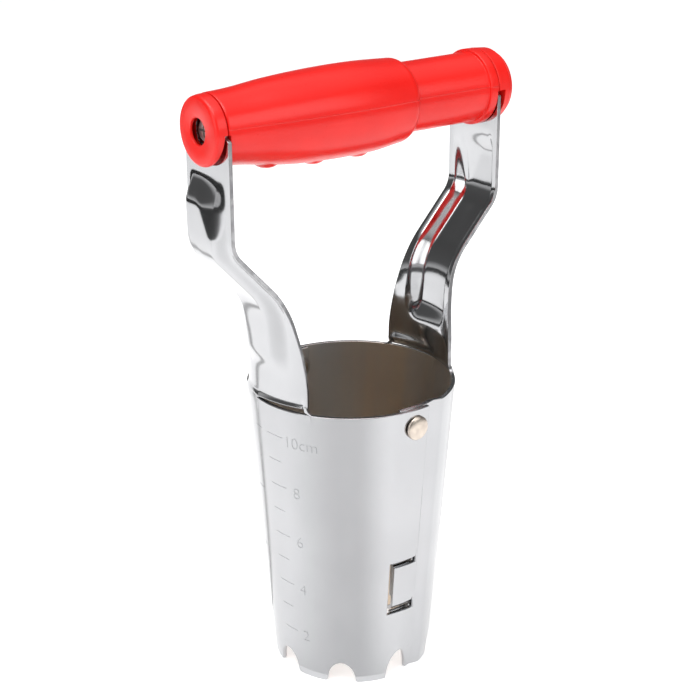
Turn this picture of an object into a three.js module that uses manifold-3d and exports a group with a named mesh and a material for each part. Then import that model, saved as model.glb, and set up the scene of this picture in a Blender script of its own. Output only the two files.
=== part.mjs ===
// A spring-release bulb planter. Two pressed steel halves, each a half cone with its own carrying arm,
// overlap at the front and the back and turn on two rivets just under the rim. A telescopic handle with
// a return spring joins the tops of the arms: squeezing it swings the lower ends of the cone apart.
// Millimetres, +Z up. X runs along the handle, the front rivet faces -Y, the teeth stand on z = 0.
// Everything is drawn about the cone's axis and shifted at the end, so that the origin lies under the
// middle of the whole object's box: the handle is a little longer on the right.
import * as THREE from "three";
import { mergeVertices } from "three/addons/utils/BufferGeometryUtils.js";
import Module from "manifold-3d";

const wasm = await Module();
wasm.setup();

// ---- cone ----
const coneHeight = 110;
const rimRadius = 37.6;
const tipRadius = 29.1;
const sheet = 1.5;
const trimBelow = 2; // the sheet is drawn this far below the tooth tips, then cut off level
const lapGap = 0.5;
const lapEnd = 99; // degrees from the middle of a half to the edge of its lap
const joggleStart = 67;
const joggleEnd = 76;

// ---- teeth and closing stop ----
const toothPitch = 45;
const notchHalfWidth = 5.2;
const notchHeight = 8.3;
const toothCorner = 1.1;
const lapNotchHeight = 11;
const outerLapTooth = 5.0; // where the last tooth under the outer lap starts, measured from the rivet
const innerLapTooth = 3.4;
const stopSlotLeft = -7.1;
const stopSlotRight = 3.9;
const stopSlotTop = 49.7;
const stopSlotBottom = 28.2;
const tongueLeft = -5.4;
const tongueTop = 47.6;
const tongueBottom = 33;
const lipDrop = 3.8;
const lipDepth = 3.4;
const lipThickness = 1.1;
const passageBeside = 0.8;
const passageAbove = 1.6;
const passageBelow = 1.0;

// ---- rivets ----
const pivotHeight = 103.2;
const rivetHeadRadius = 4.35;
const rivetHeadHeight = 1.6;
const rivetShankRadius = 2.4;
const rivetHoleRadius = 2.7;
const rivetTailRadius = 3.4;
const rivetTailHeight = 1.1;
const rivetSeat = 0.4;
const washerRadius = 4.9;
const washerThickness = 0.8;
const washerSeat = 0.7; // clearance behind the inner lap, for its curve
const tailSeat = 0.2;

// ---- arms ----
const armX = 56.5;
const armHalfWidth = 12.9;
const rootHalfWidth = 17.6;
const rootFillet = 3;
const neckRadius = 36.0;
const neckX = 35.95;
const neckHeight = 112.5;
const lowerBend = [36.2, 148.3];
const lowerBendLength = 9;
const upperBend = [armX, 170.2];
const upperBendLength = 4;
// depth of the rib at heights up the arm
const ribDepths = [[120, 0], [127, 2.2], [140, 3.2], [152, 3.6], [172, 3.6], [189, 2.2], [194, 0]];
const ribWallOuter = 10.8;
const ribWallInner = 9.0;
const plateTopRadius = 10.4;
const plateHoleRadius = 5.7;
const slitStart = -5;
const slitEnd = 17;
const slitHeight = 1.3;
const slitRise = 0.6;
const slitSill = 0.1;
const armRows = 27;
const plateTopTrim = 0.4;

// ---- handle ----
const handleZ = 208.6;
const shoulderStart = handleZ - 1.8;
const shoulderEnd = handleZ - 0.4;
const gap = 0.3;
const gripEnd = 19.9;
const gripStart = -55.9;
const wideBoreRadius = 12.5;
const wideBoreEnd = -13.2;
const narrowBoreRadius = 10.0;
const springSeat = 48;
const sleeveRadius = 12.1;
const sleeveFlare = 12.3;
const sleeveShoulder = 14;
const tailRadius = 9.6;
const tailBore = 8.2;
const tailEnd = -20;
const flangeRadius = 13.4;
const flangeStart = 52.2;
const flangeEnd = 55.9;
const leftCapFace = 60.4;
const rightCapFace = 64;
const capStart = 56.2;
const pocketRadius = 10.9;
const pocketDepth = 54.1;
const upperCapFace = 57.6;
const lowerCapFace = 59.0;
const lowerEndFace = 55.3;
const bossRadius = 5.2;
const bossEnd = 53.9;
const counterboreRadius = 4.4;
const counterboreFloor = 55.9;
const screwHoleRadius = 2.3;
const screwHeadRadius = 3.9;
const screwHeadHeight = 1.7;
const screwShankRadius = 2.0;
const screwEnd = 46.5;
const slotTop = handleZ + 0.3;
const bellyDrop = 1.5;
const bumps = [[-34.8, 13.0], [-16.2, 14.6], [2.2, 14.9]]; // place along the grip, and drop below its axis
const bumpSize = [4.4, 5.0, 2.6];

// ---- return spring ----
const wireRadius = 0.75;
const coilRadius = 6.3;
const coilTurns = 15;
const coilSteps = 8;

const boxMiddle = (rightCapFace - leftCapFace) / 2;
const roundSides = 32;
const smallSides = 16;
const radians = THREE.MathUtils.degToRad;
const smooth = THREE.MathUtils.smoothstep;

// ---- solids ----

// Any closed geometry as a solid that faces outwards.
function solid(geometry) {
  const bare = geometry.clone();
  bare.deleteAttribute("normal");
  bare.deleteAttribute("uv");
  const merged = mergeVertices(bare, 1e-4);
  const triVerts = new Uint32Array(merged.index.array);
  const vertProperties = new Float32Array(merged.attributes.position.array);
  const made = new wasm.Manifold(new wasm.Mesh({ numProp: 3, vertProperties, triVerts }));
  if (made.volume() > 0) return made;
  for (let i = 0; i < triVerts.length; i += 3) {
    [triVerts[i + 1], triVerts[i + 2]] = [triVerts[i + 2], triVerts[i + 1]];
  }
  return new wasm.Manifold(new wasm.Mesh({ numProp: 3, vertProperties, triVerts }));
}

// A named mesh with its own material from a finished solid.
function piece(name, made, finish) {
  const { vertProperties, triVerts } = made.translate([-boxMiddle, 0, 0]).getMesh();
  const geometry = new THREE.BufferGeometry();
  geometry.setAttribute("position", new THREE.BufferAttribute(new Float32Array(vertProperties), 3));
  geometry.setIndex(new THREE.BufferAttribute(new Uint32Array(triVerts), 1));
  geometry.computeVertexNormals();
  const mesh = new THREE.Mesh(geometry, new THREE.MeshStandardMaterial(finish));
  mesh.name = name;
  return mesh;
}

// A turned piece on the handle's axis: its profile is a closed loop of [place along X, radius].
function turned(profile, sides = roundSides) {
  const loop = [...profile, profile[0]];
  const geometry = new THREE.LatheGeometry(loop.map(([x, r]) => new THREE.Vector2(r, x)), sides);
  return solid(geometry.rotateZ(-Math.PI / 2).translate(0, 0, handleZ));
}

// A plain round bar on the handle's axis, from one X to the other.
function bar(from, to, radius, sides = smallSides) {
  return turned([[from, 0], [from, radius], [to, radius], [to, 0]], sides);
}

function block(from, to) {
  const size = to.map((value, i) => value - from[i]);
  const middle = to.map((value, i) => (value + from[i]) / 2);
  return solid(new THREE.BoxGeometry(...size).translate(...middle));
}

// A flat outline in X and Z pushed through along Y, from one Y to the other.
function plateAcrossY(outline, from, to) {
  const geometry = new THREE.ExtrudeGeometry(outline, { depth: to - from, bevelEnabled: false, curveSegments: 6 });
  return solid(geometry.rotateX(Math.PI / 2).translate(0, to, 0));
}

// A sheet of even thickness around its middle surface, given as points joined by four-sided faces.
function sheetSolid(points, faces, thickness) {
  const normals = points.map(() => new THREE.Vector3());
  const first = new THREE.Vector3();
  const second = new THREE.Vector3();
  for (const face of faces) {
    first.subVectors(points[face[2]], points[face[0]]);
    second.subVectors(points[face[3]], points[face[1]]);
    const normal = first.clone().cross(second);
    face.forEach((index) => normals[index].add(normal));
  }
  const side = (sign) => points.map((point, i) => {
    const offset = normals[i].clone().normalize().multiplyScalar((sign * thickness) / 2);
    return offset.add(point).toArray();
  });
  const count = points.length;
  const triangles = [];
  const edges = new Set(faces.flatMap((face) => face.map((from, i) => `${from} ${face[(i + 1) % 4]}`)));
  for (const [a, b, c, d] of faces) {
    triangles.push(a, b, c, a, c, d);
    triangles.push(a + count, c + count, b + count, a + count, d + count, c + count);
    for (const [from, to] of [[a, b], [b, c], [c, d], [d, a]]) {
      if (edges.has(`${to} ${from}`)) continue;
      triangles.push(from, from + count, to + count, from, to + count, to);
    }
  }
  const geometry = new THREE.BufferGeometry();
  const places = new Float32Array([...side(1), ...side(-1)].flat());
  geometry.setAttribute("position", new THREE.BufferAttribute(places, 3));
  geometry.setIndex(triangles);
  return solid(geometry);
}

// ---- the pressed halves, modelled with the arm on +X ----

function outerRadius(z) {
  return tipRadius + ((rimRadius - tipRadius) * z) / coneHeight;
}

// The inner lap steps in by one thickness and a running gap so that it passes behind the other half.
function lapStep(degrees) {
  return (sheet + lapGap) * smooth(-degrees, joggleStart, joggleEnd);
}

function conePoint(degrees, z) {
  const radius = outerRadius(z) - sheet / 2 - lapStep(degrees);
  const angle = radians(degrees);
  return new THREE.Vector3(radius * Math.cos(angle), radius * Math.sin(angle), z);
}

function armPath() {
  const [lowX, lowZ] = lowerBend;
  const [highX, highZ] = upperBend;
  const slope = Math.hypot(highX - lowX, highZ - lowZ);
  const alongX = (highX - lowX) / slope;
  const alongZ = (highZ - lowZ) / slope;
  const path = new THREE.Path();
  path.moveTo(neckX, neckHeight);
  path.lineTo(lowX, lowZ - lowerBendLength);
  path.quadraticCurveTo(lowX, lowZ, lowX + alongX * lowerBendLength, lowZ + alongZ * lowerBendLength);
  path.lineTo(highX - alongX * upperBendLength, highZ - alongZ * upperBendLength);
  path.quadraticCurveTo(highX, highZ, highX, highZ + upperBendLength);
  path.lineTo(highX, handleZ + plateTopRadius - plateTopTrim);
  return path;
}

// Half the width of the arm at a height: wide at the root, straight above, round inside the handle.
function armHalf(z) {
  if (z > handleZ) return Math.sqrt(plateTopRadius ** 2 - (z - handleZ) ** 2);
  const width = rootHalfWidth + (armHalfWidth - rootHalfWidth) * smooth(z, 116, 154);
  const fillet = Math.max(0, coneHeight + rootFillet - z) / rootFillet;
  const spread = rootFillet * (1 - Math.sqrt(1 - fillet ** 2));
  return width + spread - (armHalfWidth - plateTopRadius) * smooth(z, shoulderStart, shoulderEnd);
}

// Rows up the arm, as fractions of its path: even along the bends, then closer where the top is rounded.
function armStations(path) {
  const length = path.getLength();
  const end = handleZ + plateTopRadius - plateTopTrim;
  const fractionAt = (z) => 1 - (end - z) / length;
  const even = steps(0, fractionAt(shoulderStart - 2), armRows).slice(0, -1);
  const shoulder = steps(shoulderStart, shoulderEnd, 3);
  const top = steps(0, Math.asin(1 - plateTopTrim / plateTopRadius), 6);
  const round = top.map((angle) => handleZ + plateTopRadius * Math.sin(angle));
  return [...even, ...[...shoulder, ...round].map(fractionAt)];
}

// Places across the arm, edge to edge, with the rib's walls between the outer and inner crease.
function armColumns(z) {
  const half = armHalf(z);
  const squeeze = Math.min(1, half / armHalfWidth);
  const inner = [ribWallOuter, (ribWallOuter + ribWallInner) / 2, ribWallInner, ribWallInner / 2];
  const right = [half, ...inner.map((y) => y * squeeze)];
  return [...right.map((y) => -y), 0, ...right.reverse()];
}

function ribDepthAt(z) {
  const next = ribDepths.findIndex(([height]) => height > z);
  if (next < 1) return 0;
  const [[lowZ, low], [highZ, high]] = ribDepths.slice(next - 1, next + 1);
  return low + (high - low) * smooth(z, lowZ, highZ);
}

// How far the sheet stands out from the arm's path: the cone's roundness at the root, and the rib.
function armOffset(y, z) {
  const round = 1 - smooth(z, 130, 156);
  const bulge = Math.sqrt(neckRadius ** 2 - y ** 2) - neckRadius;
  return round * bulge + ribDepthAt(z) * smooth(ribWallOuter - Math.abs(y), 0, ribWallOuter - ribWallInner);
}

function steps(from, to, count) {
  return Array.from({ length: count + 1 }, (_, i) => from + ((to - from) * i) / count);
}

// The middle surface of a half: a band of the cone, and the arm's rows standing on its top edge.
function halfSheet() {
  const root = rimRadius - sheet / 2;
  const rootAngles = armColumns(coneHeight).map((y) => THREE.MathUtils.radToDeg(Math.asin(y / root)));
  const before = [...steps(-lapEnd, -joggleEnd, 4), ...steps(-joggleEnd, -joggleStart, 3).slice(1)];
  before.push(...steps(-joggleStart, rootAngles[0], 7).slice(1, -1));
  const after = steps(rootAngles.at(-1), lapEnd, 13).slice(1);
  const angles = [...before, ...rootAngles, ...after];
  const heights = [-trimBelow, coneHeight / 2, coneHeight];
  const points = heights.flatMap((z) => angles.map((degrees) => conePoint(degrees, z)));
  const faces = [];
  const addRow = (lower, upper, count) => {
    for (let i = 0; i < count - 1; i += 1) {
      faces.push([lower + i, lower + i + 1, upper + i + 1, upper + i]);
    }
  };
  addRow(0, angles.length, angles.length);
  addRow(angles.length, 2 * angles.length, angles.length);
  let lower = 2 * angles.length + before.length;
  const path = armPath();
  for (const station of armStations(path)) {
    const at = path.getPointAt(station);
    const along = path.getTangentAt(station);
    const columns = armColumns(at.y);
    const upper = points.length;
    for (const y of columns) {
      const offset = armOffset(y, at.y);
      points.push(new THREE.Vector3(at.x + along.y * offset, y, at.y - along.x * offset));
    }
    addRow(lower, upper, columns.length);
    lower = upper;
  }
  return sheetSolid(points, faces, sheet);
}

// An arched notch between two teeth, cut outwards from the axis.
function toothNotch(degrees) {
  const outline = new THREE.Shape();
  const shoulder = notchHeight * 0.2;
  const start = Math.asin(shoulder / notchHeight);
  outline.moveTo(notchHalfWidth + toothCorner, -trimBelow - 1);
  outline.lineTo(notchHalfWidth + toothCorner, 0);
  outline.quadraticCurveTo(notchHalfWidth, 0, notchHalfWidth * Math.cos(start), shoulder);
  outline.absellipse(0, 0, notchHalfWidth, notchHeight, start, Math.PI - start, false, 0);
  outline.quadraticCurveTo(-notchHalfWidth, 0, -notchHalfWidth - toothCorner, 0);
  outline.lineTo(-notchHalfWidth - toothCorner, -trimBelow - 1);
  const cutter = plateAcrossY(outline, -tipRadius - 6, -tipRadius + 6);
  return cutter.rotate([0, 0, degrees + 90]);
}

// Under each lap the last tooth ends beside the rivet line and the sheet beyond it is cut back.
function lapNotch(side, tooth) {
  const outline = new THREE.Shape();
  const beyond = 12;
  outline.moveTo(tooth + toothCorner, -trimBelow - 1);
  outline.lineTo(tooth + toothCorner, 0);
  outline.quadraticCurveTo(tooth, 0, tooth - 0.5, 2);
  outline.bezierCurveTo(tooth - 2, lapNotchHeight, tooth - 4, lapNotchHeight, -1, lapNotchHeight);
  outline.lineTo(-beyond, lapNotchHeight);
  outline.lineTo(-beyond, -trimBelow - 1);
  const cutter = plateAcrossY(outline, tipRadius - 8, tipRadius + 8);
  return side > 0 ? cutter : cutter.mirror([0, 1, 0]);
}

// The closing stop of the outer lap: a slot on three sides of a tongue, whose lip is bent inwards.
// Drawn on the back rivet line, where the outer lap of a half with its arm on +X lies.
function stopCut() {
  const near = tipRadius - 5;
  const far = rimRadius;
  const side = block([-tongueLeft, near, stopSlotBottom], [-stopSlotLeft, far, stopSlotTop]);
  const top = block([-stopSlotRight, near, tongueTop], [-stopSlotLeft, far, stopSlotTop]);
  const bottom = block([-stopSlotRight, near, stopSlotBottom], [-stopSlotLeft, far, tongueBottom]);
  return side.add(top).add(bottom);
}

function stopLip() {
  const reach = outerRadius(tongueBottom) - sheet / 2;
  const outline = new THREE.Shape();
  outline.moveTo(reach + lipThickness / 2, tongueBottom + 0.4);
  outline.lineTo(reach - lipDepth + lipThickness / 2, tongueBottom - lipDrop);
  outline.lineTo(reach - lipDepth - lipThickness / 2, tongueBottom - lipDrop);
  outline.lineTo(reach - lipThickness / 2, tongueBottom + 0.4);
  const width = stopSlotRight - tongueLeft;
  const geometry = new THREE.ExtrudeGeometry(outline, { depth: width, bevelEnabled: false });
  geometry.rotateX(Math.PI / 2).rotateZ(Math.PI / 2).translate(-stopSlotRight, 0, 0);
  return solid(geometry);
}

// The inner lap is cut back from its free edge where the other half's lip passes.
function stopPassage() {
  const bottom = tongueBottom - lipDrop - passageBelow;
  return block([-20, -rimRadius, bottom], [stopSlotRight + passageBeside, -20, tongueBottom + passageAbove]);
}

// A crescent slit under the arm's root: a point at one end, open widest at the other.
function rootSlit() {
  const middle = slitEnd / 2;
  const sill = coneHeight + slitSill;
  const outline = new THREE.Shape();
  outline.moveTo(slitStart, coneHeight + slitRise);
  outline.quadraticCurveTo(middle, sill, slitEnd, sill);
  outline.lineTo(slitEnd, coneHeight + slitHeight);
  outline.quadraticCurveTo(middle, coneHeight + 0.9 * slitHeight, slitStart, coneHeight + slitRise);
  return plateAcrossY(outline, -rimRadius - 4, -20).rotate([0, 0, 90]);
}

function half() {
  let made = halfSheet();
  for (const degrees of [-toothPitch, 0, toothPitch]) {
    made = made.subtract(toothNotch(degrees));
  }
  const pinHole = new THREE.CylinderGeometry(rivetHoleRadius, rivetHoleRadius, 4 * rimRadius, smallSides);
  const across = 2 * rimRadius;
  return made
    .subtract(block([-across, -across, -2 * trimBelow], [across, across, 0]))
    .subtract(lapNotch(1, outerLapTooth))
    .subtract(lapNotch(-1, innerLapTooth))
    .subtract(solid(pinHole.translate(0, 0, pivotHeight)))
    .subtract(bar(armX - 6, armX + 6, plateHoleRadius))
    .subtract(rootSlit())
    .subtract(stopCut())
    .add(stopLip())
    .subtract(stopPassage());
}

// ---- rivets ----

// A turned piece on a rivet line, drawn for the back: its profile is a closed loop of [Y, radius].
function turnedOnPivot(profile, sides = smallSides) {
  const loop = [...profile, profile[0]];
  const geometry = new THREE.LatheGeometry(loop.map(([y, r]) => new THREE.Vector2(r, y)), sides);
  return solid(geometry.translate(0, 0, pivotHeight));
}

const lapOutside = outerRadius(pivotHeight);
const lapInside = lapOutside - 2 * sheet - lapGap;
const washerOutside = lapInside - washerSeat;
const washerInside = washerOutside - washerThickness;

function rivet() {
  const seat = lapOutside + rivetSeat;
  const dome = steps(0, 1, 6).map((t) => {
    const angle = (t * Math.PI) / 2;
    return [seat + 0.3 + (rivetHeadHeight - 0.3) * Math.sin(angle), rivetHeadRadius * Math.cos(angle)];
  });
  const tail = washerInside - tailSeat;
  const end = tail - rivetTailHeight;
  return turnedOnPivot([
    [end, 0],
    [end, rivetTailRadius - 0.5],
    [end + 0.5, rivetTailRadius],
    [tail, rivetTailRadius],
    [tail, rivetShankRadius],
    [seat, rivetShankRadius],
    [seat, rivetHeadRadius],
    ...dome.slice(0, -1),
    [seat + rivetHeadHeight, 0],
  ]);
}

function rivetWasher() {
  return turnedOnPivot([
    [washerInside, rivetHoleRadius],
    [washerInside, washerRadius],
    [washerOutside, washerRadius],
    [washerOutside, rivetHoleRadius],
  ]);
}

// ---- handle pieces, drawn for the right-hand end where both ends are alike ----

// The upper half of an end plate rocks in this pocket.
function upperPocket(from, to) {
  const whole = bar(from, to, pocketRadius, roundSides);
  return whole.subtract(block([from - 1, -40, handleZ - 40], [to + 1, 40, slotTop]));
}

// The open slot below the axis that the arm enters by.
function lowerSlot(from, to) {
  return block([from, -40, handleZ - 40], [to, 40, slotTop]);
}

function endCap(face, faceRadius, seamRadius) {
  const round = 1.0;
  const body = turned([
    [capStart, 0],
    [capStart, seamRadius],
    [face - 2.6 * round, (faceRadius + 2 * seamRadius) / 3 + 0.2],
    [face - round, faceRadius + 0.35 * round],
    [face - 0.35 * round, faceRadius],
    [face, faceRadius - 0.9 * round],
    [face, 0],
  ]);
  const boss = bar(bossEnd, upperCapFace + 0.5, bossRadius, roundSides).add(
    bar(upperCapFace, lowerCapFace + 0.5, bossRadius, roundSides),
  );
  return body
    .subtract(upperPocket(capStart - 1, upperCapFace))
    .subtract(lowerSlot(capStart - 1, lowerCapFace))
    .add(boss)
    .subtract(bar(counterboreFloor, face + 1, counterboreRadius, roundSides))
    .subtract(bar(bossEnd - 1, face, screwHoleRadius));
}

// A pan-head screw with a cross recess, driven in from the cap's outside.
function capScrew() {
  const seat = counterboreFloor + gap;
  const top = seat + screwHeadHeight;
  const body = turned([
    [screwEnd, 0],
    [screwEnd + 2, screwShankRadius],
    [seat, screwShankRadius],
    [seat, screwHeadRadius],
    [top - 0.7, screwHeadRadius],
    [top, screwHeadRadius - 1.0],
    [top, 0],
  ], smallSides);
  const arm = 2.2;
  const width = 0.45;
  const depth = 1.0;
  const upright = block([top - depth, -width, handleZ - arm], [top + 1, width, handleZ + arm]);
  const level = block([top - depth, -arm, handleZ - width], [top + 1, arm, handleZ + width]);
  return body.subtract(upright).subtract(level);
}

// What every handle tube loses at its end: the pocket, the slot, and the recess for the cap's boss.
function endRecess(tubeEnd) {
  return upperPocket(pocketDepth, tubeEnd + 1)
    .add(lowerSlot(lowerEndFace, tubeEnd + 1))
    .add(bar(bossEnd - gap, tubeEnd + 1, bossRadius + gap, roundSides))
    .add(bar(springSeat - 4, bossEnd, screwHoleRadius));
}

function innerSleeve() {
  const tube = turned([
    [tailEnd, tailBore],
    [tailEnd, tailRadius - 0.6],
    [tailEnd + 0.6, tailRadius],
    [sleeveShoulder - 1, tailRadius],
    [sleeveShoulder, sleeveRadius],
    [flangeStart, sleeveFlare],
    [flangeStart + 0.2, flangeRadius - 0.5],
    [flangeStart + 0.7, flangeRadius],
    [flangeEnd, flangeRadius],
    [flangeEnd, 0],
    [springSeat, 0],
    [springSeat, tailBore],
  ]);
  return tube.subtract(endRecess(flangeEnd));
}

// The outer grip, drawn in place with its closed end on the left.
function outerGrip() {
  const belly = new THREE.SplineCurve(
    [[gripStart, 11.9], [-48, 12.3], [-34, 13.7], [-14, 14.8], [4, 14.95], [17.2, 14.3]].map(
      ([x, r]) => new THREE.Vector2(x, r),
    ),
  );
  const outside = belly.getPoints(10).map((point) => [point.x, point.y]);
  const body = turned([[gripStart, 0], ...outside, [18.9, 13.9], [19.6, 13.4], [gripEnd, 12.9], [gripEnd, 0]]);
  // The underside is fuller than the top, most of all in the middle.
  const fuller = body.warp((point) => {
    const below = Math.max(0, handleZ - point[2]) / 15;
    point[2] -= bellyDrop * below * smooth(point[0], gripStart, -20) * (1 - 0.5 * smooth(point[0], 6, gripEnd));
  });
  const bump = ([x, drop]) => {
    const ball = new THREE.SphereGeometry(1, 12, 8).scale(...bumpSize);
    return solid(ball.translate(x, 0, handleZ - drop));
  };
  return bumps
    .reduce((made, place) => made.add(bump(place)), fuller)
    .subtract(bar(wideBoreEnd, gripEnd + 1, wideBoreRadius, roundSides))
    .subtract(bar(-springSeat, gripEnd, narrowBoreRadius, roundSides))
    .subtract(mirrored(endRecess(-gripStart)));
}

// A half turn about the vertical axis carries a right-hand piece to the left end.
function mirrored(made) {
  return made.rotate([0, 0, 180]);
}

function returnSpring() {
  const length = 2 * (springSeat - gap) - 2 * wireRadius;
  class Helix extends THREE.Curve {
    getPoint(t, target = new THREE.Vector3()) {
      const angle = 2 * Math.PI * coilTurns * t;
      const x = (t - 0.5) * length;
      return target.set(x, coilRadius * Math.cos(angle), handleZ + coilRadius * Math.sin(angle));
    }
  }
  const wire = new THREE.Shape().absarc(0, 0, wireRadius, 0, 2 * Math.PI);
  const options = { steps: coilTurns * coilSteps, curveSegments: 3, bevelEnabled: false, extrudePath: new Helix() };
  return solid(new THREE.ExtrudeGeometry(wire, options));
}

// ---- the assembly ----

const chrome = { color: 0xc6c9cc, roughness: 0.16, metalness: 1 };
const nickel = { color: 0xb9ab98, roughness: 0.28, metalness: 1 };
const zinc = { color: 0xb4b2ac, roughness: 0.35, metalness: 1 };
const redPlastic = { color: 0xe3150f, roughness: 0.32, metalness: 0 };
const springSteel = { color: 0x8d9094, roughness: 0.35, metalness: 1 };

const planter = new THREE.Group();
planter.name = "bulb_planter";

const rightHalf = half();
planter.add(piece("right_cone_half", rightHalf, chrome));
planter.add(piece("left_cone_half", mirrored(rightHalf), chrome));
planter.add(piece("back_rivet", rivet(), nickel));
planter.add(piece("front_rivet", mirrored(rivet()), nickel));
planter.add(piece("back_rivet_washer", rivetWasher(), zinc));
planter.add(piece("front_rivet_washer", mirrored(rivetWasher()), zinc));
planter.add(piece("outer_grip", outerGrip(), redPlastic));
planter.add(piece("left_end_cap", mirrored(endCap(leftCapFace, 11.1, 11.7)), redPlastic));
planter.add(piece("left_cap_screw", mirrored(capScrew()), zinc));
planter.add(piece("inner_sleeve", innerSleeve(), redPlastic));
planter.add(piece("right_end_cap", endCap(rightCapFace, 11.6, flangeRadius), redPlastic));
planter.add(piece("right_cap_screw", capScrew(), zinc));
planter.add(piece("return_spring", returnSpring(), springSteel));

export default planter;
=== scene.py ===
"""Looks for a spring-release bulb planter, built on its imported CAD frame.

Sizes are in millimetres about the cone's own axis, as on a maker's drawing: X runs along the handle,
the front rivet faces -Y, the teeth stand on z = 0. They turn to metres when a mesh is made.
"""

import logging
import math
from dataclasses import dataclass
from enum import Enum
from typing import Any

import bmesh
import bpy
import numpy as np
from mathutils import Matrix, Vector


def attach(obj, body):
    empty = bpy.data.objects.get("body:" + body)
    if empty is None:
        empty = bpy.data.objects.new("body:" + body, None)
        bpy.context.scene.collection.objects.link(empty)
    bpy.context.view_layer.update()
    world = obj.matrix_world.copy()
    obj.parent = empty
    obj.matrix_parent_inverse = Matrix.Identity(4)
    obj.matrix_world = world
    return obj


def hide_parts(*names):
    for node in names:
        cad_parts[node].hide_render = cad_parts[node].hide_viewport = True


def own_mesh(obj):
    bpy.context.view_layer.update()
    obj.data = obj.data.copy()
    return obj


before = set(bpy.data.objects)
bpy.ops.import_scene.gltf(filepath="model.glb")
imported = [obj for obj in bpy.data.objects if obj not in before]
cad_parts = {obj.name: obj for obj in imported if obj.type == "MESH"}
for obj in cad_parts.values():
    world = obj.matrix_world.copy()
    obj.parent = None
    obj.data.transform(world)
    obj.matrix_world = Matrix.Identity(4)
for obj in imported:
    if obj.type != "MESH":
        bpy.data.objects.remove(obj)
log = logging.getLogger("bulb_planter")

MM = 0.001
CONE_AXIS_X = -1.8
SHEET = 1.5
HANDLE_Z = 208.6
PIVOT_Z = 103.2
ARM_X = 56.5


class Body(Enum):
    """The moving bodies of the frame."""

    LEFT_HALF = "left_half"
    RIGHT_HALF = "right_half"
    GRIP = "grip"
    SLEEVE = "sleeve"


class Slot(Enum):
    """The record's material slots."""

    PLATED_STEEL = "plated_steel"
    RIVET_METAL = "rivet_metal"
    ZINC_STEEL = "zinc_steel"
    RED_PLASTIC = "red_plastic"
    SPRING_STEEL = "spring_steel"


# ---- shader building ----


class Signal:
    """A shader socket that takes part in Python expressions."""

    def __init__(self, shader: "Shader", socket: Any) -> None:
        """Wraps a socket of a shader's tree."""
        self.shader = shader
        self.socket = socket

    def _with(self, operation: str, first: Any, second: Any = 0.0) -> "Signal":
        """Adds one Math node.

        Args:
            operation: The Math node's operation.
            first: Its first value, a number or a Signal.
            second: Its second value.

        Returns:
            The node's result.
        """
        node = self.shader.node("ShaderNodeMath", {"operation": operation}, {0: first, 1: second})
        return Signal(self.shader, node.outputs[0])

    def __add__(self, other: Any) -> "Signal":
        """self + other."""
        return self._with("ADD", self, other)

    __radd__ = __add__

    def __sub__(self, other: Any) -> "Signal":
        """self - other."""
        return self._with("SUBTRACT", self, other)

    def __rsub__(self, other: Any) -> "Signal":
        """other - self."""
        return self._with("SUBTRACT", other, self)

    def __mul__(self, other: Any) -> "Signal":
        """self * other."""
        return self._with("MULTIPLY", self, other)

    __rmul__ = __mul__

    def __abs__(self) -> "Signal":
        """The value without its sign."""
        return self._with("ABSOLUTE", self)

    def step(self, low: float, high: float) -> "Signal":
        """A smooth step.

        Args:
            low: The value where the step is still 0.
            high: The value where it has reached 1.

        Returns:
            A number from 0 to 1.
        """
        settings = {"interpolation_type": "SMOOTHSTEP"}
        inputs = {"Value": self, "From Min": low, "From Max": high}
        return Signal(self.shader, self.shader.node("ShaderNodeMapRange", settings, inputs).outputs[0])


class NodeTree:
    """A node tree that is filled one node at a time."""

    def __init__(self, owner: Any) -> None:
        """Empties the tree of a material or a world."""
        owner.use_nodes = True
        self.tree = owner.node_tree
        self.tree.nodes.clear()

    def node(self, kind: str, settings: dict | None = None, inputs: dict | None = None) -> Any:
        """Adds one node.

        Args:
            kind: The node's type.
            settings: Its properties, set first; "stops" sets a ramp's (place, colour) pairs.
            inputs: What its sockets get, by name or number: a value, a socket or a Signal.

        Returns:
            The node.
        """
        made = self.tree.nodes.new(kind)
        for key, value in (settings or {}).items():
            if key == "stops":
                for i, (place, colour) in enumerate(value):
                    stop = made.color_ramp.elements[i] if i < 2 else made.color_ramp.elements.new(place)
                    stop.position = place
                    stop.color = colour
            else:
                setattr(made, key, value)
        for key, value in (inputs or {}).items():
            source = value.socket if isinstance(value, Signal) else value
            if isinstance(source, bpy.types.NodeSocket):
                self.tree.links.new(source, made.inputs[key])
            else:
                made.inputs[key].default_value = source
        return made


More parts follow.
